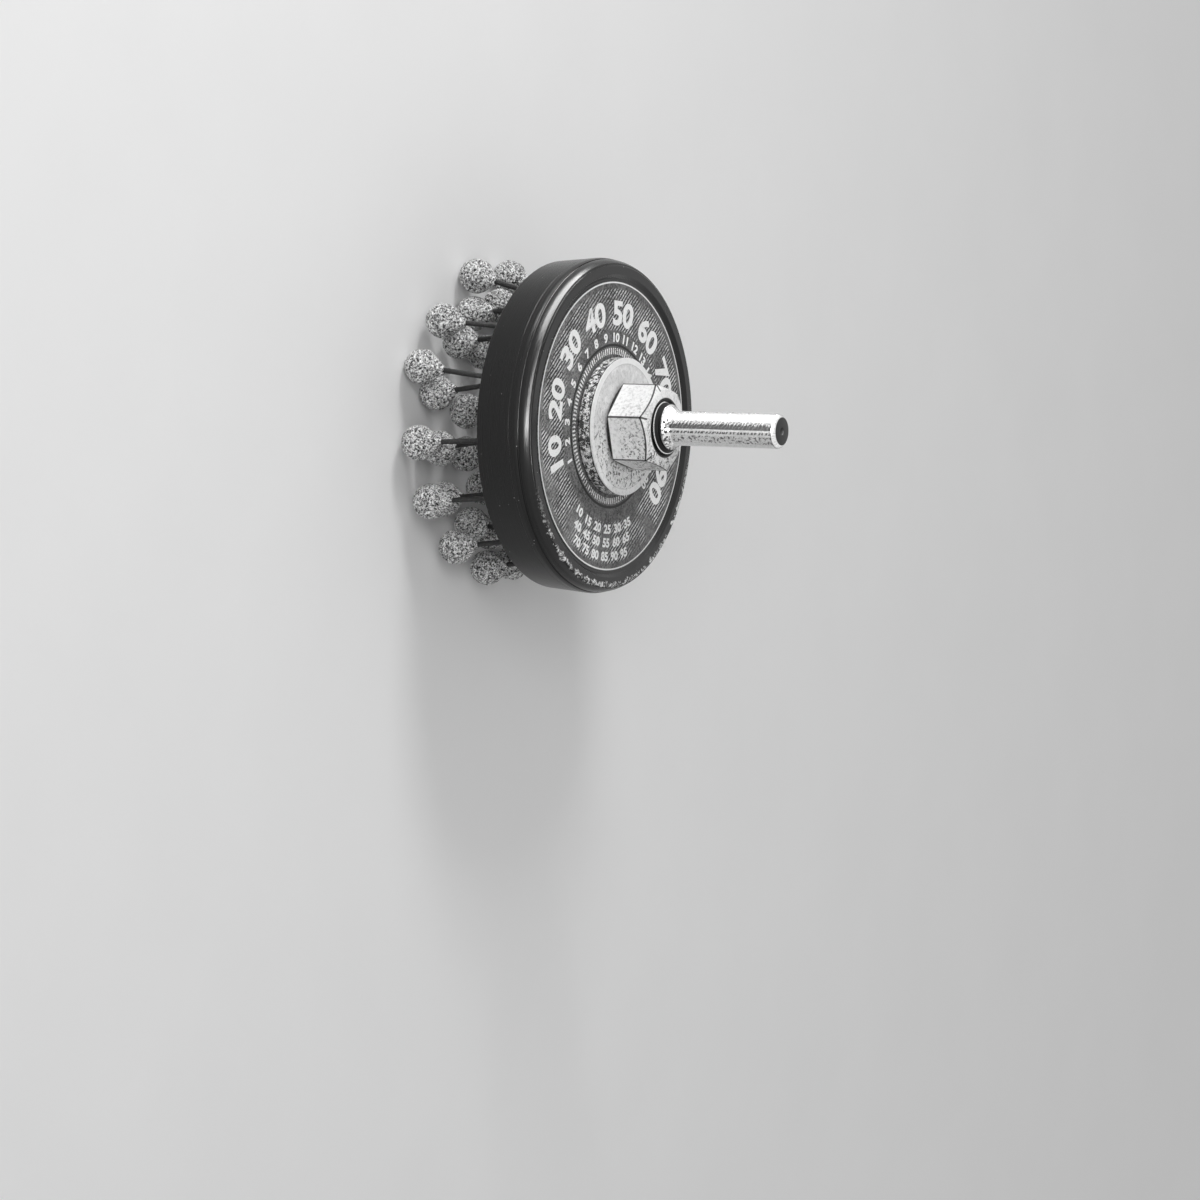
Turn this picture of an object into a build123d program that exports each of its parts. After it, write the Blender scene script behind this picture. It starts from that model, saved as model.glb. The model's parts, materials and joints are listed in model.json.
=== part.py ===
from build123d import *

import os
from math import cos, radians, sin, tan

os.makedirs("parts", exist_ok=True)

# A flexible ball hone for flat faces, standing on its globules with the shank up.
# Millimetres. The origin is on the axis, in the plane of the lowest globule tips.

# Moulded disc
disc_dia = 102.7  # at its widest, where the side meets the shoulder
disc_thick = 18.6
disc_lift = 30.2  # globule tips to the front face
side_draft = 4.5  # degrees that the side leans in towards the front
front_edge_rad = 0.5
shoulder_drop = 5.3  # rear plane to the top of the side
shoulder_width = 2.45  # widest part to the flat ring
bead_inset = 1.5  # widest part to the inner edge of the bead round the shoulder
bead_drop = 0.6  # rear plane to that edge
mould_line_rad = 0.3
mould_line_inset = 0.4  # widest part to the line under the bead
mould_line_drop = 3.7
rim_line_rad = 0.2  # fine line between the bead and the flat ring
rim_flat = 2.6  # flat ring between the shoulder and the recess
recess_bevel = 1.2
recess_depth = 1.05

# Printed label in the recess
label_thick = 0.25
label_edge_gap = 0.9
label_bore_gap = 0.4

# Arbor: hexagon head, plain body, coarse thread and turned shank in one piece
thread_dia = 15.875
thread_proud = 1.15  # last full thread above the nut
thread_chamfer = 1.3
cone_len = 2.1
shank_dia = 10.5
shank_reach = 40.0  # nut face to the end of the shank
shank_chamfer = 1.05
centre_dia = 2.4
centre_depth = 1.6
head_flats = 23.8125
head_height = 9.9
bore_gap = 0.2  # disc and washers round the arbor

# Nut and washers
nut_flats = 23.8125
nut_height = 13.89
nut_turn = 18.0
hexagon_face_dia = 22.8
hexagon_corner_drop = 1.2
nut_bore_gap = 0.06
nut_countersink = 0.65
washer_dia = 42.0
washer_thick = 4.76
washer_roll_rad = 0.8
front_washer_dia = 28.6
front_washer_thick = 2.5
front_washer_edge = 0.3

# Filaments, each folded in two round a staple at the bottom of its hole
filament_dia = 1.6
fold_gap = 0.3  # filament to staple
staple_dia = 0.8
staple_grip = 1.2  # length of staple held in each hole wall
hole_dia = 6.6
hole_mouth = 0.6
hole_floor_gap = 0.5
staple_depth = 7.0
bend_rad = 12.0
bend_inset = 1.0

# Abrasive globules, one moulded round each filament end
globule_dia = 11.0
neck_start = 50.0  # degrees above the middle of the ball, where its neck begins
neck_dia = 2.4
neck_reach = 7.6  # globule centre to the top of its neck
tip_stop = 1.5  # filament end short of the globule centre

# Outer tufts hold the two outer rows of globules, inner tufts the third row
outer_count = 14
outer_first = -185.6
outer_edge = 11.65  # disc edge to the ring of outer holes
outer_row_inset = 6.15  # disc edge to the outermost row
row_pitch = 11.2
inner_row_pitch = 13.5
inner_count = 4
inner_first = -128.5
inner_hole_gap = 1.34  # front washer edge to the inner holes

# No two tufts stand alike: how far each globule leans along the ring, lifts and splays outwards
outer_row_stances = (
    (-2.5, 0.0, 0.5),
    (-3.0, 0.5, 1.5),
    (2.0, 2.0, 0.5),
    (-2.0, 0.0, 0.0),
    (1.0, 1.5, 0.5),
    (-0.5, 2.0, 0.5),
    (-0.5, 2.5, 0.0),
    (0.0, 2.0, 0.0),
)
middle_row_stances = (
    (3.5, 1.0, 2.0),
    (1.5, 0.0, 2.0),
    (-0.5, 2.0, 0.5),
    (2.5, 0.0, 0.5),
    (4.0, 1.5, 0.0),
    (5.0, 0.0, 2.0),
    (4.0, 2.0, 0.5),
    (3.0, 0.0, 0.0),
)
inner_left_stances = ((1.5, 2.0, -2.0), (-0.5, 1.0, 1.0))
inner_right_stances = ((-3.5, 1.0, 1.5), (0.5, 1.0, -0.5))

# Radii and heights worked out from the sizes above
disc_rad = disc_dia / 2
crest_rad = disc_rad - shoulder_width
rim_rad = crest_rad - rim_flat
bead_rad = disc_rad - bead_inset
mould_line_out = disc_rad - mould_line_inset
recess_rad = rim_rad - recess_bevel
label_rad = recess_rad - label_edge_gap
thread_rad = thread_dia / 2
shank_rad = shank_dia / 2
bore_rad = thread_rad + bore_gap
globule_rad = globule_dia / 2
filament_rad = filament_dia / 2
staple_rad = staple_dia / 2
fold_rad = staple_rad + fold_gap + filament_rad
hole_rad = hole_dia / 2
hole_depth = staple_depth + fold_rad + filament_rad + hole_floor_gap

front_z = disc_lift
rear_z = front_z + disc_thick
side_z = rear_z - shoulder_drop
bead_z = rear_z - bead_drop
mould_line_z = rear_z - mould_line_drop
front_rad = disc_rad - (side_z - front_z) * tan(radians(side_draft))
recess_z = rear_z - recess_depth
label_z = recess_z + label_thick
washer_z = label_z + washer_thick
nut_z = washer_z + nut_height
thread_z = nut_z + thread_proud
shank_end_z = nut_z + shank_reach
front_washer_z = front_z - front_washer_thick
head_z = front_washer_z - head_height
staple_z = front_z + staple_depth

outer_ring_rad = disc_rad - outer_edge
outer_row_rad = disc_rad - outer_row_inset
middle_row_rad = outer_row_rad - row_pitch
inner_row_rad = middle_row_rad - inner_row_pitch
inner_half_angle = 180 / (2 * inner_count)
inner_out = inner_row_rad * cos(radians(inner_half_angle))
inner_along = inner_row_rad * sin(radians(inner_half_angle))
inner_ring_rad = front_washer_dia / 2 + inner_hole_gap + hole_rad


def upright_plane(azimuth, ring_rad, turn):
    """Plane of one folded filament: its centre is the staple, y is up and x runs along the pair."""
    centre = Vector(ring_rad, 0, staple_z).rotate(Axis.Z, azimuth)
    along_pair = Vector(1, 0, 0).rotate(Axis.Z, azimuth + turn)
    return Plane(origin=centre, x_dir=along_pair, z_dir=along_pair.cross(Vector(0, 0, 1)))


def globule_centre(azimuth, row_rad, along, stance):
    """Centre of a globule in its row, moved as far as it leans, lifts and splays."""
    lean, lift, splay = stance
    return Vector(row_rad + splay, along + lean, globule_rad + lift).rotate(Axis.Z, azimuth)


# Every tuft as its name, its plane and the centres of its two globules
tufts = []
for index in range(outer_count):
    azimuth = outer_first + index * 360 / outer_count
    step = index % len(outer_row_stances)
    pair = (
        globule_centre(azimuth, outer_row_rad, 0, outer_row_stances[step]),
        globule_centre(azimuth, middle_row_rad, 0, middle_row_stances[step]),
    )
    tufts.append((f"outer_{index + 1:02d}", upright_plane(azimuth, outer_ring_rad, 0), pair))
for index in range(inner_count):
    azimuth = inner_first + index * 360 / inner_count
    step = index % len(inner_left_stances)
    pair = (
        globule_centre(azimuth, inner_out, inner_along, inner_left_stances[step]),
        globule_centre(azimuth, inner_out, -inner_along, inner_right_stances[step]),
    )
    tufts.append((f"inner_{index + 1}", upright_plane(azimuth, inner_ring_rad, 90), pair))


# Moulded disc: one turned profile, with a hole and a staple seat for each filament
with BuildPart() as disc:
    with BuildSketch(Plane.XZ) as disc_profile:
        with BuildLine():
            FilletPolyline(
                (bore_rad, front_z),
                (front_rad, front_z),
                (disc_rad, side_z),
                radius=front_edge_rad,
            )
            TangentArc((disc_rad, side_z), (mould_line_out, mould_line_z), tangent=(0, 1))
            TangentArc((mould_line_out, mould_line_z), (bead_rad, bead_z), tangent=(0, 1))
            Polyline(
                (bead_rad, bead_z),
                (crest_rad, rear_z),
                (rim_rad, rear_z),
                (recess_rad, recess_z),
                (bore_rad, recess_z),
                (bore_rad, front_z),
            )
        make_face()
    revolve(axis=Axis.Z)
    with BuildSketch(Plane.XZ):
        with Locations((mould_line_out, mould_line_z)):
            Circle(mould_line_rad)
        with Locations(((bead_rad + crest_rad) / 2, (bead_z + rear_z) / 2)):
            Circle(rim_line_rad)
    revolve(axis=Axis.Z, mode=Mode.SUBTRACT)
    with BuildSketch(Plane.XY.offset(front_z)):
        with Locations([(plane.origin.X, plane.origin.Y) for name, plane, pair in tufts]):
            Circle(hole_rad)
    extrude(amount=hole_depth, mode=Mode.SUBTRACT)
    mouths = disc.edges(Select.LAST).filter_by(GeomType.CIRCLE).group_by(Axis.Z)[0]
    chamfer(mouths, hole_mouth)
    for name, plane, pair in tufts:
        with BuildSketch(plane):
            Circle(staple_rad)
    extrude(amount=hole_rad + staple_grip, both=True, mode=Mode.SUBTRACT)
disc.part.label = "disc"
export_step(disc.part, "parts/disc.step")

# Printed label: a thin ring under the washer
with BuildPart() as label:
    with BuildSketch(Plane.XY.offset(recess_z)):
        Circle(label_rad)
        Circle(bore_rad + label_bore_gap, mode=Mode.SUBTRACT)
    extrude(amount=label_thick)
label.part.label = "label"
export_step(label.part, "parts/label.step")

# Rear washer: stamped from thick plate, with a rolled lower edge
with BuildPart() as rear_washer:
    with BuildSketch(Plane.XY.offset(label_z)):
        Circle(washer_dia / 2)
        Circle(bore_rad, mode=Mode.SUBTRACT)
    extrude(amount=washer_thick)
    rolled_edge = rear_washer.edges().group_by(Axis.Z)[0].sort_by(SortBy.RADIUS)[-1]
    fillet(rolled_edge, washer_roll_rad)
rear_washer.part.label = "rear_washer"
export_step(rear_washer.part, "parts/rear_washer.step")

# Front washer: spreads the load of the arbor head on the moulding
with BuildPart() as front_washer:
    with BuildSketch(Plane.XY.offset(front_washer_z)):
        Circle(front_washer_dia / 2)
        Circle(bore_rad, mode=Mode.SUBTRACT)
    extrude(amount=front_washer_thick)
    exposed_edge = front_washer.edges().group_by(Axis.Z)[0].sort_by(SortBy.RADIUS)[-1]
    chamfer(exposed_edge, front_washer_edge)
front_washer.part.label = "front_washer"
export_step(front_washer.part, "parts/front_washer.step")


def hexagon_limit(flats, low_z, high_z):
    """Turned outline that bevels the corners of a hexagon at both ends."""
    face_rad = hexagon_face_dia / 2
    corner_rad = flats / 2 / cos(radians(30))
    Polyline(
        (0, low_z),
        (face_rad, low_z),
        (corner_rad, low_z + hexagon_corner_drop),
        (corner_rad, high_z - hexagon_corner_drop),
        (face_rad, high_z),
        (0, high_z),
        close=True,
    )


# Hexagon nut with a countersunk bore
with BuildPart() as hex_nut:
    with BuildSketch(Plane.XY.offset(washer_z)):
        RegularPolygon(nut_flats / 2, 6, major_radius=False, rotation=nut_turn)
    extrude(amount=nut_height)
    with BuildSketch(Plane.XZ):
        with BuildLine():
            hexagon_limit(nut_flats, washer_z, nut_z)
        make_face()
    revolve(axis=Axis.Z, mode=Mode.INTERSECT)
    with Locations((0, 0, nut_z)):
        Hole(thread_rad + nut_bore_gap, depth=nut_height)
    chamfer(hex_nut.faces().filter_by(GeomType.CYLINDER).edges(), nut_countersink)
hex_nut.part.label = "hex_nut"
export_step(hex_nut.part, "parts/hex_nut.step")

# Arbor: the head first, then everything that a lathe turns
with BuildPart() as arbor:
    with BuildSketch(Plane.XY.offset(head_z)):
        RegularPolygon(head_flats / 2, 6, major_radius=False)
    extrude(amount=head_height)
    with BuildSketch(Plane.XZ):
        with BuildLine():
            hexagon_limit(head_flats, head_z, front_washer_z)
        make_face()
    revolve(axis=Axis.Z, mode=Mode.INTERSECT)
    with BuildSketch(Plane.XZ):
        with BuildLine():
            Polyline(
                (0, front_washer_z),
                (thread_rad, front_washer_z),
                (thread_rad, thread_z),
                (thread_rad - thread_chamfer, thread_z + thread_chamfer),
                (shank_rad, thread_z + thread_chamfer + cone_len),
                (shank_rad, shank_end_z - shank_chamfer),
                (shank_rad - shank_chamfer, shank_end_z),
                (0, shank_end_z),
                close=True,
            )
        make_face()
    revolve(axis=Axis.Z)
    with BuildSketch(Plane.XZ):
        with BuildLine():
            Polyline(
                (0, shank_end_z - centre_depth),
                (centre_dia / 2, shank_end_z),
                (0, shank_end_z),
                close=True,
            )
        make_face()
    revolve(axis=Axis.Z, mode=Mode.SUBTRACT)
arbor.part.label = "arbor"
export_step(arbor.part, "parts/arbor.step")

# Staples: one short wire across the bottom of each hole, through the fold
with BuildPart() as staples:
    for name, plane, pair in tufts:
        with BuildSketch(plane):
            Circle(staple_rad)
    extrude(amount=hole_rad + staple_grip, both=True)
staples.part.label = "staples"
export_step(staples.part, "parts/staples.step")


def leg_points(plane, side, globule):
    """One leg as its top, its bend inside the hole mouth and its tip inside the globule."""
    top = plane.from_local_coords((side * fold_rad, 0, 0))
    bend = plane.from_local_coords((side * fold_rad, bend_inset - staple_depth, 0))
    tip = globule + (bend - globule).normalized() * tip_stop
    return top, bend, tip


def fold_filament(plane, pair):
    """One filament: two legs, each with one soft bend, and the fold round the staple."""
    near_top, near_bend, near_tip = leg_points(plane, 1, pair[0])
    far_top, far_bend, far_tip = leg_points(plane, -1, pair[1])
    crown = plane.from_local_coords((0, fold_rad, 0))
    with BuildPart() as filament:
        with BuildLine() as route:
            FilletPolyline(near_tip, near_bend, near_top, radius=bend_rad)
            ThreePointArc(near_top, crown, far_top)
            FilletPolyline(far_top, far_bend, far_tip, radius=bend_rad)
        with BuildSketch(Plane(origin=near_tip, z_dir=near_bend - near_tip)):
            Circle(filament_rad)
        sweep()
    return filament.part


def mould_globules(plane, pair, filament):
    """Two teardrops round the filament ends: a ball that runs out into a neck on the filament."""
    with BuildPart() as globules:
        for side, globule in zip((1, -1), pair):
            top, bend, tip = leg_points(plane, side, globule)
            along = (bend - globule).normalized()
            across = along.cross(plane.z_dir).normalized()
            with BuildSketch(Plane(origin=globule, x_dir=across, z_dir=across.cross(along))):
                with BuildLine():
                    belly = CenterArc((0, 0), globule_rad, -90, 90 + neck_start)
                    Polyline(belly @ 1, (neck_dia / 2, neck_reach), (0, neck_reach), belly @ 0)
                make_face()
            revolve(axis=Axis(globule, along))
        add(filament, mode=Mode.SUBTRACT)
    return globules.part


# Tufts: each a folded filament and the pair of globules on its ends
for name, plane, pair in tufts:
    filament = fold_filament(plane, pair)
    filament.label = f"{name}_filament"
    export_step(filament, f"parts/{name}_filament.step")
    globules = mould_globules(plane, pair, filament)
    globules.label = f"{name}_globules"
    export_step(globules, f"parts/{name}_globules.step")
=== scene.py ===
# %% [markdown]
# # A flexible ball hone for flat faces
# A moulded black disc sits on a steel arbor. Nylon filaments stand out of its front face, each folded
# in two, and each end carries a ball of bonded grit. A drill turns the tool by its plain shank.
# The solids come from the CAD frame, in metres, with the globule tips on the floor and the shank up.
# This script gives them their surfaces, and models again what plain solids can't show: the screw
# thread of the arbor and the pitted skin of the globules.

import json
import math

import bmesh
import bpy
import numpy as np
from mathutils import Matrix, Vector, noise


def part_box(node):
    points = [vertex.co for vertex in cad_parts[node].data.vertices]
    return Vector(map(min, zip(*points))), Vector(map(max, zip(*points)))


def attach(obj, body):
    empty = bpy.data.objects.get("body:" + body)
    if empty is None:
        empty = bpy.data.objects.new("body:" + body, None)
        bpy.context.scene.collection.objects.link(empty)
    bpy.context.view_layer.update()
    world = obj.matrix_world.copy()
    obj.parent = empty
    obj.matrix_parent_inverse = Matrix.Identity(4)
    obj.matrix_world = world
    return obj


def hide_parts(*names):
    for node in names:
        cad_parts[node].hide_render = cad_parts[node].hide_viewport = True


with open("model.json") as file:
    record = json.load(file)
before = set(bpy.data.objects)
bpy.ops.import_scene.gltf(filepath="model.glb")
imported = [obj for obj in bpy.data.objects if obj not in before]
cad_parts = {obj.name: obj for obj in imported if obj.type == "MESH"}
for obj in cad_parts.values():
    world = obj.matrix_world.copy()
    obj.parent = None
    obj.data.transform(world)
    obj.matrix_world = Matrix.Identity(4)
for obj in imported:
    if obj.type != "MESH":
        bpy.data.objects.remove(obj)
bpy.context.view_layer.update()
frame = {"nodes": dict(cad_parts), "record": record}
nodes = frame["nodes"]
MM = 0.001

filaments = sorted(name for name in nodes if name.endswith("_filament"))
globules = sorted(name for name in nodes if name.endswith("_globules"))
print(len(nodes), "nodes,", len(filaments), "folded filaments,", len(globules), "pairs of globules")

# %% Heights of the main pieces
def height(name):
    """Lowest and highest point of a node, in millimetres."""
    low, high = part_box(name)
    return low.z / MM, high.z / MM


disc_low, disc_top = height("disc")
label_top = height("label")[1]
nut_low, nut_top = height("hex_nut")
head_low, shank_top = height("arbor")
print(f"disc {disc_low:.1f} to {disc_top:.1f} mm, label at {label_top:.1f}, shank end at {shank_top:.1f}")

# %% [markdown]
# ## Camera
# The photograph looks at the rear of the disc from about 30 degrees above its plane, and it was taken
# with the tool on its side. Here the tool stands upright, so the camera lies on its side instead:
# it is rolled by 93 degrees, and the shank points to the right of the picture.
# A long lens keeps the near and far rim of the disc almost the same size, as in the photograph.

# %% Place the camera
focal_pixels = 4310
photo_pixels = 1200
sensor_width = 36.0
camera_place = Vector((0, -1143.7, 705.3)) * MM
camera_azimuth = 2.67
camera_elevation = 29.95
camera_roll = 93.09

camera_data = bpy.data.cameras.new("photo_camera")
camera_data.sensor_width = sensor_width
camera_data.lens = focal_pixels / photo_pixels * sensor_width
camera = bpy.data.objects.new("photo_camera", camera_data)
camera.matrix_world = (
    Matrix.Translation(camera_place)
    @ Matrix.Rotation(math.radians(-camera_azimuth), 4, "Z")
    @ Matrix.Rotation(math.radians(90 - camera_elevation), 4, "X")
    @ Matrix.Rotation(math.radians(camera_roll), 4, "Z")
)
bpy.context.scene.collection.objects.link(camera)
bpy.context.scene.camera = camera
print(f"lens {camera_data.lens:.0f} mm, {camera_place.length:.2f} m from the tool")

# %% [markdown]
# ## Shader maths
# Procedural materials are sums, products and thresholds of patterns. Written as node calls they are
# hard to read, so a small class wraps a socket and lets Python's own signs add the Math nodes.
# One function adds the nodes, of every kind. It sets a node's settings first, because some of them
# change which sockets it has, and then what goes into those sockets.

# %% A socket that can be added and multiplied
class Signal:
    """An output socket of a node tree that Python's operators work on."""

    def __init__(self, tree, socket):
        self.tree = tree
        self.socket = socket

    def math(self, operation, *others):
        """What a Math node makes of this signal and others, which may be numbers."""
        values = dict(enumerate((self, *others)))
        return node(self.tree, "ShaderNodeMath", {"operation": operation}, values)

    def __add__(self, other):
        return self.math("ADD", other)

    def __sub__(self, other):
        return self.math("SUBTRACT", other)

    def __mul__(self, other):
        return self.math("MULTIPLY", other)

    def __truediv__(self, other):
        return self.math("DIVIDE", other)

    def __rsub__(self, other):
        return (self * -1) + other

    __radd__ = __add__
    __rmul__ = __mul__

    def step(self, low, high, smooth=True):
        """0 at low, 1 at high and a soft ramp between them, whichever of the two is larger."""
        settings = {"interpolation_type": "SMOOTHSTEP" if smooth else "LINEAR"}
        if low < high:
            values = {0: self, 1: low, 2: high}
        else:
            values = {0: self, 1: high, 2: low, 3: 1.0, 4: 0.0}
        return node(self.tree, "ShaderNodeMapRange", settings, values)

    def band(self, low, high, soft):
        """1 between low and high, 0 outside, with soft edges."""
        return self.step(low - soft, low + soft) * self.step(high + soft, high - soft)


def node(tree, kind, settings=None, values=None, output=0):
    """Adds one node: first its settings, then a value or a link for each of its sockets."""
    made = tree.nodes.new(kind)
    for name, value in (settings or {}).items():
        setattr(made, name, value)
    for name, value in (values or {}).items():
        if isinstance(value, Signal):
            tree.links.new(value.socket, made.inputs[name])
        else:
            made.inputs[name].default_value = value
    return Signal(tree, made.outputs[output])


print("signals can be added, multiplied and stepped")

# %% Materials and their sockets
def new_material(name):
    """A material, its Principled shader, and its Object coordinates in millimetres."""
    material = bpy.data.materials.new(name)
    material.use_nodes = True
    tree = material.node_tree
    metres = node(tree, "ShaderNodeTexCoord", output="Object")
    values = {0: metres, "Scale": 1 / MM}
    place = node(tree, "ShaderNodeVectorMath", {"operation": "SCALE"}, values)
    return material, tree.nodes["Principled BSDF"], place


def connect(shader, **inputs):
    """Feeds a shader's sockets, named with underscores for spaces, from signals or constants."""
    for name, value in inputs.items():
        socket = shader.inputs[name.replace("_", " ")]
        if isinstance(value, Signal):
            value.tree.links.new(value.socket, socket)
        else:
            socket.default_value = value


def paint(material, *names):
    """Gives CAD nodes a material."""
    for name in names:
        mesh = nodes[name].data
        mesh.materials.clear()
        mesh.materials.append(material)


print("materials can be made, connected and painted on")

# %% [markdown]
# ### Greys and patterns
# Everything on this tool is black, white or grey, so a colour is one level. Patterns come from noise
# and from scattered cells, and they read the piece's own coordinates in millimetres, so that a scale
# of 2 means two features in each millimetre and the pattern stays on the piece when it moves.

# %% Greys
def plain_grey(level):
    """A grey as a colour with alpha."""
    return (level, level, level, 1)


def blend(below, above, factor):
    """One colour over another. Inputs 6 and 7 of a Mix node are its colours, output 2 their mix."""
    colours = {0: factor, 6: below, 7: above}
    return node(factor.tree, "ShaderNodeMix", {"data_type": "RGBA"}, colours, output=2)


def grey(dark, light, factor):
    """A grey that goes from dark to light as the factor goes from 0 to 1."""
    return blend(plain_grey(dark), plain_grey(light), factor)


print("greys can be mixed")

# %% Patterns
def clouds(place, scale, detail=2.0, rough=0.5, warp=0.0):
    """Noise from 0 to 1 with a feature size of about 1 / scale millimetres."""
    values = {"Vector": place, "Scale": scale, "Detail": detail, "Roughness": rough, "Distortion": warp}
    return node(place.tree, "ShaderNodeTexNoise", None, values)


def cells(place, scale, feature="F1"):
    """Distance from the nearest of a scatter of points, in cells."""
    return node(place.tree, "ShaderNodeTexVoronoi", {"feature": feature}, {"Vector": place, "Scale": scale})


def stretched(place, scale, turn=(0, 0, 0)):
    """Coordinates scaled, and turned, for a pattern of their own."""
    return node(place.tree, "ShaderNodeMapping", None, {"Vector": place, "Scale": scale, "Rotation": turn})


def relief(surface, strength):
    """Turns a height in millimetres into a normal."""
    values = {"Height": surface, "Strength": strength, "Distance": MM}
    return node(surface.tree, "ShaderNodeBump", None, values)


print("patterns ready")

# %% Coordinates
def axes(place):
    """The three coordinates of a place as signals."""
    split = node(place.tree, "ShaderNodeSeparateXYZ", None, {0: place})
    return [Signal(place.tree, split.socket.node.outputs[index]) for index in range(3)]


def combined(*coordinates):
    """A place made of two or three signals."""
    return node(coordinates[0].tree, "ShaderNodeCombineXYZ", None, dict(enumerate(coordinates)))


def round_the_axis(place):
    """Distance from the tool's axis, angle round it in degrees and height, for turned parts."""
    x, y, z = axes(place)
    radius = (x * x + y * y).math("SQRT")
    angle = y.math("ARCTAN2", x) * (180 / math.pi)
    return radius, angle, z


print("coordinates ready")

# %% [markdown]
# ## Light and floor
# In the photograph the light comes from above the picture, which is the -X side of the tool. It is
# hard enough to leave the lower half of every globule in shade, so the key lamp is small and rather low.
# A wide soft lamp near the camera keeps the metal pale. It stays out of reflections, because the
# black disc shows none of that shape. What the disc does show comes from three lamps that are seen
# in gloss alone. A window above the picture makes the rounded shoulder shine along its upper left.
# A tube that starts there and ends beside the camera draws the thin line on the crest, and a small
# lamp puts a short double streak on the near side.
# The world is white to the camera and in reflections, and weaker where it only fills the shadows.
# The floor is plain and pale. It lies in the plane of the globule tips, where the work would be, and
# it has no gloss, so that the lamps that are seen in gloss don't glare off it.

# %% Lamps
tool_middle = Vector((0, 0, 0.04))


def area_lamp(name, place, size, watts, diffuse=True, glossy=True, upright=(0, 0, 1)):
    """A rectangular lamp that faces the tool, with its second side along a given direction."""
    data = bpy.data.lights.new(name, "AREA")
    data.shape = "RECTANGLE"
    data.size, data.size_y = size
    data.energy = watts
    lamp = bpy.data.objects.new(name, data)
    back = (Vector(place) - tool_middle).normalized()
    side = Vector(upright).cross(back).normalized()
    turned = Matrix((side, back.cross(side), back)).transposed()
    lamp.matrix_world = Matrix.Translation(place) @ turned.to_4x4()
    lamp.visible_camera = False
    lamp.visible_diffuse = diffuse
    lamp.visible_glossy = glossy
    bpy.context.scene.collection.objects.link(lamp)


area_lamp("key_lamp", (-0.85, -0.20, 0.42), (0.24, 0.24), 4.0, glossy=False)
area_lamp("soft_lamp", (-0.30, -1.10, 0.75), (0.7, 0.7), 5.0, glossy=False)
area_lamp("window_lamp", (-0.80, 0.0, 0.24), (0.9, 0.40), 30.0, diffuse=False)
area_lamp("crest_lamp", (-0.30, -0.70, 0.68), (0.05, 1.0), 20.0, diffuse=False, upright=(0.8, -0.6, -0.1))
area_lamp("rim_lamp", (0.03, -1.2, 0.66), (0.05, 0.05), 10.0, diffuse=False)
print("five lamps")

# %% World
fill_strength = 0.43
world = bpy.data.worlds.new("studio")
world.use_nodes = True
background = world.node_tree.nodes["Background"]
to_camera = node(world.node_tree, "ShaderNodeLightPath", output="Is Camera Ray")
in_gloss = node(world.node_tree, "ShaderNodeLightPath", output="Is Glossy Ray")
seen = to_camera.math("MAXIMUM", in_gloss)
connect(background, Color=plain_grey(1), Strength=seen * (1 - fill_strength) + fill_strength)
bpy.context.scene.world = world
print("a white world that fills the shadows at", fill_strength)

# %% Floor
floor_reach = 12.0
floor_mesh = bpy.data.meshes.new("floor")
bm = bmesh.new()
bmesh.ops.create_grid(bm, x_segments=1, y_segments=1, size=floor_reach)
bm.to_mesh(floor_mesh)
bm.free()
floor = bpy.data.objects.new("floor", floor_mesh)
bpy.context.scene.collection.objects.link(floor)

floor_material, shader, place = new_material("pale_floor")
mottle = clouds(place, 0.02, detail=3.0)
connect(shader, Base_Color=grey(0.90, 0.94, mottle), Roughness=0.8, Specular_IOR_Level=0.0)
floor_mesh.materials.append(floor_material)
print(f"a floor {floor_reach:.0f} m each way")

# %% [markdown]
# ## Moulded disc
# The disc is black plastic with a soft sheen. Its side shows faint flow lines round it and the seam
# between the two mould halves. Dust and small pits catch the light. The flat ring round the recess is
# chipped on the lower right, which shows as rough white specks. All of that is a few tenths of
# a millimetre at most, so it goes into the surface and not into the mesh.

# %% Flow lines, seam and dust
seam_drop = 6.8
seam_width = 0.12

moulding, shader, place = new_material("black_moulding")
radius, angle, z = round_the_axis(place)
flow = clouds(stretched(place, (0.05, 0.05, 2.6)), 1.0, detail=4.0, rough=0.6)
grain = clouds(place, 6.0, detail=3.0, rough=0.6)
seam = (z - (disc_top - seam_drop)).band(-seam_width, seam_width, 0.06)
dusty = clouds(place, 0.09, detail=1.0).step(0.5, 0.62)
dust = cells(place, 0.42).step(0.075, 0.045) * dusty
print(f"seam at {disc_top - seam_drop:.1f} mm")

# %% [markdown]
# ### Chips
# A chipped edge isn't a neat circle, so the radius is disturbed by slow noise before the ring is cut
# out of it. Fine noise above a threshold makes the chips in it, and coarse noise leaves gaps.

# %% Chipped ring
ring_in = 47.9
ring_out = 49.2
ring_wander = 1.5
chip_middle = 8.0
chip_reach = 78.0
chip_fade = 30.0

stray = clouds(place, 0.7, detail=3.0) * (2 * ring_wander) - ring_wander
ring = (radius + stray).band(ring_in, ring_out, 0.2) * z.step(disc_top - 1.0, disc_top - 0.7)
lower_right = (angle - chip_middle).math("ABSOLUTE").step(chip_reach, chip_reach - chip_fade)
patchy = clouds(place, 0.30, detail=2.0).step(0.38, 0.46)
chips = clouds(place, 1.3, detail=6.0, rough=0.8).step(0.49, 0.51) * ring * lower_right * patchy
print(f"chips from {ring_in:.1f} to {ring_out:.1f} mm out")

# %% Black moulding
base = grey(0.006, 0.012, flow)
base = blend(base, plain_grey(0.45), dust * 0.8)
base = blend(base, plain_grey(0.95), chips)
rough = flow * 0.12 + 0.16 + grain * 0.06 + chips * 0.5 + dust * 0.4
surface = flow * 0.05 + grain * 0.006 - seam * 0.05 + dust * 0.1 + chips * 0.08
connect(shader, Base_Color=base, Roughness=rough, Normal=relief(surface, 1.0), Specular_IOR_Level=0.27)
paint(moulding, "disc")
print("disc painted")

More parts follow.
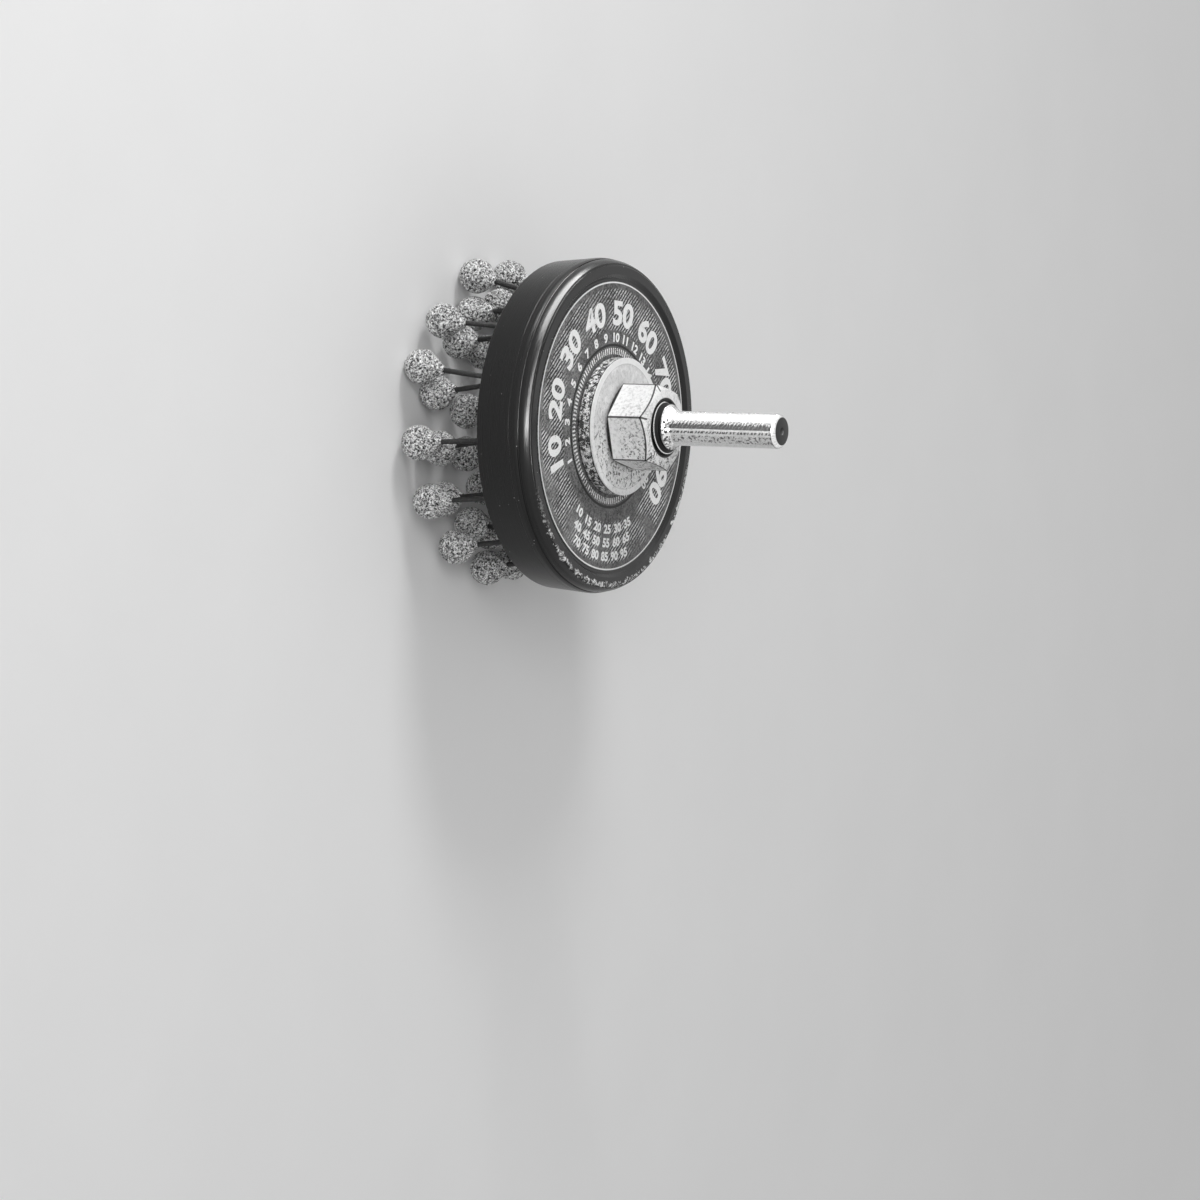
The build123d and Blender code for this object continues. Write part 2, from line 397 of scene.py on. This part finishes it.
# %% [markdown]
# ## Printed label
# The label is a dark film with a fine grain, a pale edge, a hatched border and white print. The
# print is plain scales: large numbers round most of the ring, small ones inside them, and three
# short rows of numbers in the gap that they leave.
# Lines and hatching are drawn in the material, from the radius and the angle, so they stay sharp.
# The grain of the film is painted a little paler on the side that lies nearest to the camera, as a painted
# sheen.

# %% Grain, hatching and ticks
label_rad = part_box("label")[1].x / MM
tick_pitch = 3.0
tick_in = 22.0
tick_out = 23.9
black_in = 24.4
black_out = 25.2
border_in = 29.4
border_out = 42.0
hatch_pitch = 1.15
hatch_turn = math.radians(-41)
edge_inset = 0.1
edge_width = 0.45

label_film, shader, place = new_material("label_film")
radius, angle, z = round_the_axis(place)
speckle = clouds(place, 1.3, detail=5.0, rough=0.85)
blotch = clouds(place, 0.12, detail=2.0)
mottled = (speckle * 0.8 + blotch * 0.2).step(0.40, 0.60, smooth=False)
border = radius.band(border_in, border_out, 0.4) * clouds(place, 0.10, detail=1.0).step(0.30, 0.55)
across_hatch = axes(stretched(place, (1, 1, 1), (0, 0, hatch_turn)))[0]
hatch = (across_hatch / hatch_pitch + clouds(place, 0.3) * 0.5).math("FRACT").band(0.25, 0.75, 0.08)
ticks = (angle / tick_pitch).math("FRACT").band(0.25, 0.75, 0.02) * radius.band(tick_in, tick_out, 0.1)
edge_rad = label_rad - edge_inset
edge = radius.band(edge_rad - edge_width, edge_rad, 0.08)
lines = (ticks * speckle.step(0.42, 0.5) + edge).math("MINIMUM", 1.0)
print(f"{360 / tick_pitch:.0f} ticks, hatching from {border_in} to {border_out} mm out")

# %% Label film
sheen_start = -12.0
sheen_end = -36.0

# Painted sheen: the film's grain is painted paler towards -Y, the side nearest the camera.
painted_sheen = axes(place)[1].step(sheen_start, sheen_end)
field = blend(grey(0.006, 0.21, mottled), grey(0.006, 0.31, mottled), painted_sheen)
film = blend(field, grey(0.006, 0.88, hatch * mottled), border)
film = blend(film, plain_grey(0.004), radius.band(black_in, black_out, 0.12))
film = blend(film, plain_grey(0.88), lines * speckle.step(0.26, 0.34))
connect(shader, Base_Color=film, Roughness=speckle * 0.2 + 0.45, Normal=relief(speckle * 0.012, 0.6))
connect(shader, Specular_IOR_Level=0.25)
paint(label_film, "label")
print(f"label film out to {label_rad:.1f} mm")

# %% [markdown]
# ## Numbers on the label
# A number is a flat shape with curved sides, and Blender's own text gives exactly that. Each number
# becomes a mesh, its outline moves outwards to make the print bold, and then its points are wrapped
# round the ring: the distance along the line of print turns into an angle, and the height of the
# print into a radius. The ink lies a few hundredths of a millimetre above the film.

# %% Ink
ink, shader, place = new_material("white_ink")
wear = clouds(place, 2.4, detail=4.0, rough=0.7)
spots = clouds(place, 2.2, detail=3.0, rough=0.6).step(0.33, 0.29)
shade = blend(grey(0.80, 0.95, wear.step(0.3, 0.5, smooth=False)), plain_grey(0.25), spots)
connect(shader, Base_Color=shade, Roughness=wear * 0.2 + 0.45, Specular_IOR_Level=0.25)
print("ink ready")

# %% Make the print bold
def embolden(shape, bold):
    """Moves the outline of a flat shape outwards, so that its strokes grow wider."""
    moves = {}
    for vert in shape.verts:
        outward = []
        for edge in vert.link_edges:
            if edge.is_boundary:
                loop = edge.link_loops[0]
                along = (loop.link_loop_next.vert.co - loop.vert.co).normalized()
                outward.append(Vector((along.y, -along.x, 0)))
        if len(outward) == 2:
            moves[vert] = (outward[0] + outward[1]) * bold / max(0.4, 1 + outward[0].dot(outward[1]))
    for vert, move in moves.items():
        vert.co += move


print("print can be made bold")

# %% Wrap a number round the ring
ink_height = 0.04
cap_height = 0.73


def wrapped_number(bm, text, azimuth, foot, top, wide, bold):
    """Adds one number to a bmesh in millimetres. Its foot may be at the smaller or the larger radius."""
    curve = bpy.data.curves.new("number", "FONT")
    curve.body = text
    curve.align_x = "CENTER"
    curve.size = abs(top - foot) / cap_height
    curve.resolution_u = 6
    lettering = bpy.data.objects.new("number", curve)
    flat = bpy.data.meshes.new_from_object(lettering)
    shape = bmesh.new()
    shape.from_mesh(flat)
    bmesh.ops.remove_doubles(shape, verts=shape.verts, dist=0.0001)
    embolden(shape, bold)
    upward = 1 if top > foot else -1
    for vert in shape.verts:
        reach = foot + upward * vert.co.y
        turned = math.radians(azimuth) - upward * vert.co.x * wide / ((foot + top) / 2)
        vert.co = (reach * math.cos(turned), reach * math.sin(turned), label_top + ink_height)
    shape.to_mesh(flat)
    shape.free()
    bm.from_mesh(flat)
    bpy.data.objects.remove(lettering)
    bpy.data.curves.remove(curve)
    bpy.data.meshes.remove(flat)


print(f"numbers lie {ink_height} mm above the film")

# %% [markdown]
# ### Finishing a piece
# Pieces are modelled in millimetres round the tool's own origin. The last step scales the mesh to
# metres and marks as sharp the edges that turn by more than an angle. Then it says which body
# carries the piece. The place is all in the mesh,
# so the object itself stays at the origin, unturned and unscaled.

# %% Finish a piece
def finished(name, bm, material, body, smooth_angle=35.0):
    """Turns a bmesh in millimetres into a piece in metres that rides on a body."""
    bmesh.ops.scale(bm, vec=(MM, MM, MM), verts=bm.verts)
    mesh = bpy.data.meshes.new(name)
    bm.to_mesh(mesh)
    bm.free()
    mesh.materials.append(material)
    mesh.shade_smooth()
    mesh.set_sharp_from_angle(angle=math.radians(smooth_angle))
    piece = bpy.data.objects.new(name, mesh)
    bpy.context.scene.collection.objects.link(piece)
    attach(piece, body)
    print(name, len(mesh.polygons), "faces")
    return piece


print("pieces can be finished")

# %% Rows of numbers
scale_end = 45.0
scale_start = scale_end + 255.0
gap_start = scale_end - 86.0
gap_end = scale_end - 19.0
gap_foot = 32.8
row_pitch = 4.2
row_height = 2.7
row_indent = 4.0
large_bold = 0.36
small_bold = 0.17


def number_row(bm, values, start, end, foot, top, wide, bold):
    """Spaces numbers evenly from one azimuth to another."""
    for index, value in enumerate(values):
        azimuth = start + (end - start) * (index + 0.5) / len(values)
        wrapped_number(bm, str(value), azimuth, foot, top, wide, bold)


bm = bmesh.new()
tens = range(10, 100, 10)
ones = range(1, 21)
number_row(bm, tens, scale_start, scale_end, foot=31.2, top=38.6, wide=1.25, bold=large_bold)
number_row(bm, ones, scale_start, scale_end, foot=25.9, top=28.6, wide=1.2, bold=small_bold)
for row in range(3):
    fives = range(10 + 30 * row, 40 + 30 * row, 5)
    start = gap_start + row_indent * row
    end = gap_end - row_indent * row
    foot = gap_foot + row_pitch * row
    top = foot - row_height
    number_row(bm, fives, start, end, foot, top, wide=1.15, bold=small_bold)
finished("label_numbers", bm, ink, "arbor_and_disc")

# %% [markdown]
# ## Washers and nut
# The nut and both washers are zinc plated. The plating is pale and rather dull, with small patches
# that differ in shade and a few dark pinholes. On the side away from the light many more dark specks
# are painted as shade, and a strip above the nut's foot is kept clear of them as a painted reflection.
# On the lit side the washer's face has darker patches, which are painted shade. Painted shade also lies
# where the nut meets the washer, under its bevel and in its bore, and thin dark lines are painted along
# its corners. The rim of a washer is a sheared edge, with painted shadow at its foot, a thin dark line
# near its top and dark specks that are a painted reflection of the print. Beside it on the face is a
# pale band that is a painted bevel highlight, and a faint dark line ends it. No solid shows any of
# that, so each is a band of radius, angle or height.

# %% Patches and pinholes
nut_turn = 18.0
nut_face_rad = 11.4
nut_flat_rad = 23.8125 / 2
bevel_slope = 1.95
bore_rad = 8.7
reflection_strip_height = 4.5
shade_start = -14.0
shade_end = 12.0
bevel_band_width = 1.9
bevel_band_blur = 0.2
washer_low, washer_top = height("rear_washer")
washer_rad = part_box("rear_washer")[1].x / MM
bevel_band_rad = washer_rad - bevel_band_width

plate, shader, place = new_material("zinc_plate")
radius, angle, z = round_the_axis(place)
patches = cells(place, 0.9, "SMOOTH_F1")
mottle = clouds(place, 1.3, detail=5.0, rough=0.7, warp=0.4)
# Painted shade: dark specks are far denser on the +X side, away from the light, than the few pinholes
# elsewhere. A strip above the nut's foot is kept clear of them as a painted reflection.
shaded_side = axes(place)[0].step(shade_start, shade_end)
at_nut_foot = z.band(nut_low + 0.1, nut_low + reflection_strip_height, 0.1)
spotted = shaded_side * (1 - at_nut_foot) * 0.9 + 0.1
inside_band = radius.step(bevel_band_rad + bevel_band_blur, bevel_band_rad)
pinholes_and_shade_specks = clouds(place, 1.0, detail=4.0, rough=0.75).step(0.47, 0.42) * spotted * (inside_band * 0.8 + 0.2)
turning = combined(radius * 3.0, angle * 0.02, z * 2.0)
scratches = clouds(turning, 1.6, detail=3.0, rough=0.6).step(0.62, 0.70)
print(f"washer out to {washer_rad:.1f} mm, nut from {nut_low:.1f} to {nut_top:.1f} mm")

# %% Painted shade on the nut
corner_degrees = 1.7
foot_height = 1.4
bevel_shadow = 1.1

from_corner = (((angle - nut_turn) / 60 + 20.5).math("FRACT") - 0.5).math("ABSOLUTE") * 60
from_middle = (30 - from_corner) * (math.pi / 180)
on_flat = (radius * from_middle.math("COSINE")).step(nut_flat_rad - 0.06, nut_flat_rad - 0.03)
bevel_rad = (nut_top - z) * bevel_slope + nut_face_rad
under_bevel = (bevel_rad - radius).band(-0.1, bevel_shadow, 0.1) * on_flat
on_nut = z.step(nut_low + 0.05, nut_low + 0.1) * radius.step(nut_face_rad, nut_face_rad + 0.2)
corner_lines = from_corner.step(corner_degrees, corner_degrees - 0.7)
foot_line = z.step(nut_low + foot_height, nut_low + foot_height - 0.2)
# Painted shade: a dark band at the nut's foot where it meets the washer and a dark band under its bevel.
# Thin dark lines are painted along its corners as well.
nut_shade_and_lines = on_nut * (corner_lines * 0.9 + foot_line + under_bevel * 0.9)
print("grime on the corners, the foot and the bevel of the nut")

# %% Painted shade, reflection and highlight on the washers
rim_line_drop = 0.6
rim_line_half = 0.15

rim_line_z = washer_top - rim_line_drop
at_rim = radius.step(washer_rad - 0.4, washer_rad - 0.2)
rim_line = z.band(rim_line_z - rim_line_half, rim_line_z + rim_line_half, 0.05) * 0.9
# Painted shadow: the foot of a washer's rim is painted dark.
washer_foot = z.step(washer_low + 0.5, washer_low + 0.3)
bare_rim = at_rim * z.step(washer_top - 0.5, washer_top - 0.65)
# Painted reflection: dark specks on the rim stand for the label's print mirrored in it.
rim_reflection_specks = clouds(place, 0.8, detail=5.0, rough=0.8).step(0.53, 0.50) * bare_rim * 0.95
on_top = z.step(washer_low + 0.5, washer_low + 1.0)
# Painted highlight: a pale band inside the rim stands for a bevel that catches the light, and a faint dark
# line ends it.
painted_bevel_highlight = on_top * radius.step(bevel_band_rad, bevel_band_rad + bevel_band_blur)
under_nut = z.step(nut_low + 0.1, nut_low - 0.1)
edge_line = radius.band(bevel_band_rad - 0.1, bevel_band_rad + 0.1, 0.06) * under_nut * 0.4
# Painted shade: the face is painted dark close to the bore.
bore_shade = radius.step(bore_rad + 0.6, bore_rad + 0.3)
# All these dark marks are painted: shade, shadow, a reflection and thin dark lines.
rim_shadow_reflection_and_lines = at_rim * (washer_foot + rim_line) + rim_reflection_specks + edge_line
painted_dark_marks = (nut_shade_and_lines + rim_shadow_reflection_and_lines + bore_shade).math("MINIMUM", 1.0)
print(f"a worn band {bevel_band_width} mm wide on the washer")

# %% Zinc plate
shade = grey(0.64, 0.87, (mottle * 0.75 + patches * 0.3).step(0.34, 0.52, smooth=False))
# Painted shade: on the lit -X side of the washer's face, darker patches tone down the light.
shade_patch_noise = clouds(place, 0.5, detail=3.0).step(0.34, 0.52)
painted_shade_patches = (1 - shaded_side) * under_nut * shade_patch_noise
shade = blend(shade, plain_grey(0.42), painted_shade_patches * 0.75 * (1 - painted_bevel_highlight))
# Painted highlight: the pale band of the bevel.
shade = blend(shade, plain_grey(0.90), painted_bevel_highlight * 0.7)
# Dark specks: a few pinholes, and painted shade on the side away from the light.
shade = blend(shade, plain_grey(0.12), pinholes_and_shade_specks)
# Painted shade, shadow and reflection, and thin dark lines, from the masks above.
shade = blend(shade, plain_grey(0.02), painted_dark_marks)
metal = (1 - painted_dark_marks) * (bare_rim * 0.2 + 0.02)
rough = mottle * 0.20 + scratches * 0.10 + 0.28 - bare_rim * 0.10
surface = mottle * 0.012 - pinholes_and_shade_specks * 0.04 - scratches * 0.006
connect(shader, Base_Color=shade, Metallic=metal, Roughness=rough, Normal=relief(surface, 0.5))
connect(shader, Specular_IOR_Level=0.12)
paint(plate, "rear_washer", "front_washer", "hex_nut")
print("zinc plate on the nut and two washers")

# %% [markdown]
# ## Arbor
# The arbor is one bar: a hexagon head in front, a coarse thread for the nut and a plain shank.
# The CAD solid has a plain cylinder where the thread is, so the arbor is modelled again here.
# The core is a profile spun round the axis. The thread is a bar of trapezoid section, spun in small
# steps that each lift it a little. Last, every point outside the turned outline is pushed in to
# it, as the lathe does when it bevels the end of a thread.

# %% Arbor sizes
thread_rad = 7.9375
thread_pitch = 25.4 / 11
root_rad = 6.55
cone_rad = 6.64
shank_rad = 5.25
end_rad = 4.3
end_length = 1.2
centre_rad = 1.25
centre_depth = 1.6
end_low = shank_top - end_length
thread_end = nut_top + 1.15
cone_low = thread_end + 1.3
cone_high = cone_low + 2.1
head_top = disc_low - 2.5
head_corner_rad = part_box("arbor")[1].x / MM
head_face_rad = nut_face_rad
corner_drop = 1.2
print(f"thread pitch {thread_pitch:.3f} mm, head {head_low:.1f} to {head_top:.1f} mm")

# %% [markdown]
# ### Turned steel
# Dark marks are painted on the bar. Dark strips along the shank are a painted reflection of dark
# surroundings, a thin dark line is painted where the shank meets its end bevel, and the cone has dark
# specks. The thread is painted dark below its crests, so only its crests shine. The end face is
# painted nearly black inside its bright bevel. The strips repeat every 120 degrees, so they are drawn
# as shares of a third of a turn, and noise breaks them up.

# %% Dark strips on the shank, painted as a reflection
strips_turn = 117.0
wide_share = (0.0, 0.235)
fine_share = (0.285, 0.355)
faint_share = (0.41, 0.66)

turned_steel, shader, place = new_material("turned_steel")
radius, angle, z = round_the_axis(place)
# Painted reflection: the dark strips stand for dark surroundings mirrored in the shank. They repeat every
# third of a turn.
third_share = ((angle + strips_turn) / 120 + 10).math("FRACT")
wander_along = clouds(place, 0.8, detail=2.0) * 2.2
marks = (z * 0.83 + angle * 0.05 + wander_along).math("FRACT").band(0.22, 0.80, 0.12)
solid_start = third_share.step(0.05, 0.14) * 0.9
wide_strip = third_share.band(*wide_share, 0.012) * (solid_start + marks * 0.8).math("MINIMUM", 1.0)
fine_strip = third_share.band(*fine_share, 0.008) * (marks * 0.6 + 0.4)
strip_breaks = clouds(place, 1.2, detail=3.0, rough=0.65).step(0.52, 0.57)
faint_strip = third_share.band(*faint_share, 0.02) * strip_breaks * 0.9
on_shank = z.step(cone_low + 0.2, cone_low + 0.8) * z.step(end_low + 0.3, end_low - 0.1)
strips = (wide_strip + fine_strip + faint_strip) * on_shank
print("the scale repeats for each of three jaws")

# %% Dark cone, thread and end
# A thin dark line is painted where the shank meets its end bevel.
bevel_line = z.band(end_low - 0.15, end_low + 0.05, 0.06) * 0.8
on_cone = z.step(thread_end + 1.1, thread_end + 1.4) * z.step(cone_high + 0.4, cone_low)
cone_specks = on_cone * clouds(place, 1.1, detail=3.0, rough=0.65).step(0.50, 0.46)
# The thread is painted dark below its crests, and the end face and its centre hole nearly black.
in_groove = radius.step(thread_rad - 0.1, thread_rad - 0.35) * z.step(nut_low, nut_low + 0.5)
in_thread = in_groove * z.step(thread_end + 1.0, thread_end + 0.7)
end_face = z.step(end_low - 0.6, end_low - 0.4) * radius.step(end_rad, end_rad - 0.15)
# The dark strips are a painted reflection, and the specks on the cone are marks on the steel.
reflection_strips_and_marks = (strips + bevel_line + cone_specks) * 0.95
dark = (reflection_strips_and_marks + in_thread + end_face * 0.97).math("MINIMUM", 1.0)
print("scale, oil and the raw end are dark")

# %% Steel
lathe = clouds(combined(z * 5.0, angle * 0.01), 1.0, detail=3.0, rough=0.6)
mottle = clouds(place, 1.6, detail=5.0, rough=0.7, warp=0.3)
streaks = clouds(combined(angle * 0.30, z * 0.04), 1.0, detail=4.0, rough=0.6)
pits = clouds(place, 2.2, detail=3.0, rough=0.6).step(0.36, 0.30)
shade = grey(0.52, 0.86, (mottle * 0.5 + streaks * 0.5).step(0.36, 0.58, smooth=False))
shade = blend(shade, plain_grey(0.16), pits * 0.6)
shade = blend(shade, plain_grey(0.015), dark)
rough = mottle * 0.12 + lathe * 0.08 + 0.12 + dark * 0.3
surface = lathe * 0.008 + mottle * 0.008 - pits * 0.02
connect(shader, Base_Color=shade, Metallic=1.0, Roughness=rough, Normal=relief(surface, 0.5))
print("steel ready")

# %% Spin, turn in and join
def spun(bm, profile, steps, lift=0.0, turns=1, closed=False):
    """Spins a profile of radii and heights round the axis, so many steps to a turn."""
    verts = [bm.verts.new((r, 0, z)) for r, z in profile]
    pairs = list(zip(verts, verts[1:] + verts[:1])) if closed else list(zip(verts, verts[1:]))
    edges = [bm.edges.new(pair) for pair in pairs]
    bmesh.ops.spin(
        bm, geom=verts + edges, cent=(0, 0, 0), axis=(0, 0, 1), dvec=(0, 0, lift / steps),
        angle=math.tau * turns, steps=steps * turns, use_merge=lift == 0.0, use_duplicate=False,
    )


def turned_in(bm, outline):
    """Pushes points in to a turned outline, a list of heights and radii."""
    heights, radii = zip(*outline)
    for vert in bm.verts:
        reach = math.hypot(vert.co.x, vert.co.y)
        most = float(np.interp(vert.co.z, heights, radii))
        if reach > most:
            vert.co.x *= most / reach
            vert.co.y *= most / reach


def join(bm, part):
    """Adds one bmesh to another, and frees it."""
    mesh = bpy.data.meshes.new("part")
    part.to_mesh(mesh)
    part.free()
    bm.from_mesh(mesh)
    bpy.data.meshes.remove(mesh)


print("lathe ready")

# %% Turn the core
core_steps = 96
arbor_shape = bmesh.new()
core_profile = [
    (0.0, head_top - 0.5),
    (thread_rad, head_top - 0.5),
    (thread_rad, nut_low),
    (root_rad, nut_low + 0.4),
    (root_rad, cone_low - 0.1),
    (cone_rad, cone_low),
    (shank_rad + 0.15, cone_high - 0.2),
    (shank_rad, cone_high + 0.15),
    (shank_rad, end_low),
    (shank_rad - 0.2, end_low + 0.4),
    (end_rad, shank_top - 0.08),
    (end_rad - 0.2, shank_top),
    (centre_rad, shank_top),
    (centre_rad - 0.15, shank_top - 0.15),
    (0.0, shank_top - centre_depth),
]
spun(arbor_shape, core_profile, core_steps)
bmesh.ops.remove_doubles(arbor_shape, verts=arbor_shape.verts, dist=0.001)
bmesh.ops.recalc_face_normals(arbor_shape, faces=arbor_shape.faces)
print("core turned,", len(arbor_shape.faces), "faces")

# %% Cut the thread
turns = 9
thread_steps = 72
ridge_foot = root_rad - 0.3
inside = shank_rad - 0.3
ridge = [(ridge_foot, 0.02), (thread_rad, 0.43), (thread_rad, 0.57), (ridge_foot, 0.98)]
start = thread_end + 3.0 - turns * thread_pitch
ridge_profile = [(r, start + share * thread_pitch) for r, share in ridge]
thread = bmesh.new()
spun(thread, ridge_profile, thread_steps, thread_pitch, turns, closed=True)
bmesh.ops.holes_fill(thread, edges=thread.edges, sides=4)
turned_in(
    thread,
    [
        (0, thread_rad),
        (thread_end, thread_rad),
        (cone_low, cone_rad),
        (cone_low + 0.05, inside),
        (shank_top, inside),
    ],
)
bmesh.ops.recalc_face_normals(thread, faces=thread.faces)
join(arbor_shape, thread)
print(turns, "turns of thread")

# %% Add the hexagon head
head_height = head_top - head_low
to_corner = Matrix.Rotation(math.radians(30), 3, "Z")
head = bmesh.new()
bmesh.ops.create_cone(
    head, cap_ends=True, segments=6, radius1=head_corner_rad, radius2=head_corner_rad, depth=head_height
)
bmesh.ops.rotate(head, cent=(0, 0, 0), matrix=to_corner, verts=head.verts)
bmesh.ops.translate(head, vec=(0, 0, head_low + head_height / 2), verts=head.verts)
bmesh.ops.subdivide_edges(head, edges=head.edges, cuts=15, use_grid_fill=True)
turned_in(
    head,
    [
        (head_low, head_face_rad),
        (head_low + corner_drop, head_corner_rad),
        (head_top - corner_drop, head_corner_rad),
        (head_top, head_face_rad),
    ],
)
join(arbor_shape, head)
arbor = finished("threaded_arbor", arbor_shape, turned_steel, "arbor_and_disc")
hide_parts("arbor")

# %% [markdown]
# ## Filaments and staples
# The filaments are nylon, extruded with grit in it: dark, a little glossy, with fine lines along them.
# They run mostly up and down, so noise that is stretched along Z gives those lines. The staples
# at the bottom of the holes are plain drawn wire. The solids of both have the right shape
# already, so they keep their meshes and only get a material.

# %% Nylon and wire
nylon, shader, place = new_material("dark_nylon")
draw = clouds(stretched(place, (4.0, 4.0, 0.12)), 1.0, detail=3.0, rough=0.6)
grit = clouds(place, 4.5, detail=2.0, rough=0.6).step(0.62, 0.70)
shade = blend(grey(0.006, 0.030, draw), plain_grey(0.25), grit * 0.6)
surface = draw * 0.05 + grit * 0.04
connect(shader, Base_Color=shade, Roughness=draw * 0.2 + 0.25, Normal=relief(surface, 0.8))
connect(shader, Specular_IOR_Level=0.3)
paint(nylon, *filaments)

wire, shader, place = new_material("staple_wire")
dull = clouds(place, 3.0, detail=3.0)
connect(shader, Base_Color=grey(0.35, 0.6, dull), Metallic=1.0, Roughness=dull * 0.3 + 0.2)
paint(wire, "staples")
print(len(filaments), "filaments and their staples painted")

# %% [markdown]
# ## Globules
# Each globule is abrasive grit in resin, dipped layer on layer round a filament end, so it is nearly
# round and runs out into a neck. Its skin is a crust of grains with deep gaps between them, and
# that shows at its outline too, so a bump alone won't do. A fine icosphere is drawn out into the
# teardrop of the CAD solid, and then it is dented at each of a dense scatter of places. The
# surface only ever sinks, so the globule stays as large as its solid and clear of its neighbours.
# How deep a point sank is kept on the mesh, and the material reads it to paint shade into the gaps.

# %% Grit material
grit_skin, shader, place = new_material("bonded_grit")
pit = node(place.tree, "ShaderNodeAttribute", {"attribute_name": "pit"}, output="Fac")
tone = clouds(place, 0.6, detail=2.0)
grain = clouds(place, 1.9, detail=4.0, rough=0.75)
flecks = clouds(place, 1.5, detail=4.0, rough=0.75, warp=0.3).step(0.475, 0.455)
skin = grey(0.26, 0.97, (grain * 0.8 + tone * 0.2).step(0.42, 0.55, smooth=False))
# Painted shade: the deeper a point sank, the darker it is painted. The flecks are dark specks in the grit.
dark = (pit.step(0.32, 0.60) + flecks * 0.92).math("MINIMUM", 1.0)
skin = blend(skin, plain_grey(0.012), dark)
surface = grain * 0.16 - flecks * 0.25
connect(shader, Base_Color=skin, Roughness=0.85 - grain * 0.3, Normal=relief(surface, 0.8))
connect(shader, Specular_IOR_Level=0.2)
print("grit ready")

# %% [markdown]
# ### From the solid to the teardrop
# A CAD node holds two globules as loose triangles. Each point goes to the nearer of the two centres,
# which are then found again from the points that they got, a few times over. A sphere fitted to the
# lower part of one globule gives its centre and radius, and the points furthest from that centre
# give its neck.

# %% Measure a globule
cap_sample = 5.0
neck_tip = 0.3
sorting_rounds = 6


def fit_globule(points):
    """Centre, radius and neck of a globule, from the points of its CAD solid, in millimetres."""
    ball = points[points[:, 2] < points[:, 2].min() + cap_sample]
    equations = np.c_[2 * ball, np.ones(len(ball))]
    answer = np.linalg.lstsq(equations, (ball**2).sum(axis=1), rcond=None)[0]
    centre = answer[:3]
    away = np.linalg.norm(points - centre, axis=1)
    neck = points[away > away.max() - neck_tip].mean(axis=0) - centre
    neck_rad = math.sqrt(away.max() ** 2 - neck @ neck)
    return Vector(centre), math.sqrt(answer[3] + centre @ centre), Vector(neck), neck_rad


def apart(name):
    """The points of a node's two globules, each point with the nearer of the two centres."""
    points = np.array([vert.co for vert in nodes[name].data.vertices]) / MM
    one = points[np.linalg.norm(points - points.mean(axis=0), axis=1).argmax()]
    other = points[np.linalg.norm(points - one, axis=1).argmax()]
    for _ in range(sorting_rounds):
        nearer = np.linalg.norm(points - one, axis=1) < np.linalg.norm(points - other, axis=1)
        one, other = [np.array(fit_globule(part)[0]) for part in (points[nearer], points[~nearer])]
    return points[nearer], points[~nearer]


for part in apart(globules[0]):
    centre, ball_rad, neck, neck_rad = fit_globule(part)
    print(f"radius {ball_rad:.2f} mm, neck {neck.length:.2f} mm up and {neck_rad:.2f} mm in radius")

# %% Draw out a teardrop
neck_start = math.radians(50)


def teardrop_reach(tilt, ball_rad, neck_reach, neck_rad):
    """Distance from the centre to the teardrop's surface, at a tilt above its middle."""
    foot = Vector((math.cos(neck_start), math.sin(neck_start))) * ball_rad
    slope = Vector((neck_rad, neck_reach)) - foot
    if tilt < neck_start:
        return ball_rad
    if tilt > math.atan2(neck_reach, neck_rad):
        return neck_reach / math.sin(tilt)
    ray = Vector((math.cos(tilt), math.sin(tilt)))
    return (foot.x * slope.y - foot.y * slope.x) / (ray.x * slope.y - ray.y * slope.x)


print(f"the neck starts {math.degrees(neck_start):.0f} degrees above the middle")

# %% Grow the crust
grain_size = 1.15
pit_size = 0.46
pit_depth = 0.55
pit_slope = 1.8
lump_pitch = 0.55
lump_depth = 0.22
wander = 0.45
wander_pitch = 0.8
crust_seed = 5


def grown_globule(bm, centre, ball_rad, neck, neck_rad):
    """Adds a teardrop: an icosphere whose upper side is drawn out to the neck, then pitted."""
    made = bmesh.ops.create_icosphere(bm, subdivisions=6, radius=1.0)["verts"]
    up = neck.normalized()
    pit = bm.verts.layers.float["pit"]
    for vert in made:
        out = vert.co.normalized()
        tilt = math.asin(max(-1.0, min(1.0, out.dot(up))))
        here = centre + out * teardrop_reach(tilt, ball_rad, neck.length, neck_rad)
        strayed = here + noise.noise_vector(here * wander_pitch) * wander
        near = noise.voronoi(strayed / grain_size)[0][0]
        sunk = max(0.0, 1 - near / pit_size)
        lump = 0.5 - 0.5 * noise.noise(here * lump_pitch)
        vert[pit] = sunk
        vert.co = here - out * (min(1.0, sunk * pit_slope) * pit_depth + lump * lump_depth)


# Without a seed of its own, noise_vector takes its offsets from the clock and every run differs.
noise.seed_set(crust_seed)
body_of = {name: body for body, names in frame["record"]["behaviour"]["bodies"].items() for name in names}
for name in globules:
    bm = bmesh.new()
    bm.verts.layers.float.new("pit")
    for points in apart(name):
        grown_globule(bm, *fit_globule(points))
    piece = finished(name.replace("_globules", "_grit"), bm, grit_skin, body_of[name], 180)
    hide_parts(name)

# %% [markdown]
# ## View transform
# The render shows its colours through the Standard view transform.

# %% Set the view transform
bpy.context.scene.view_settings.view_transform = "Standard"
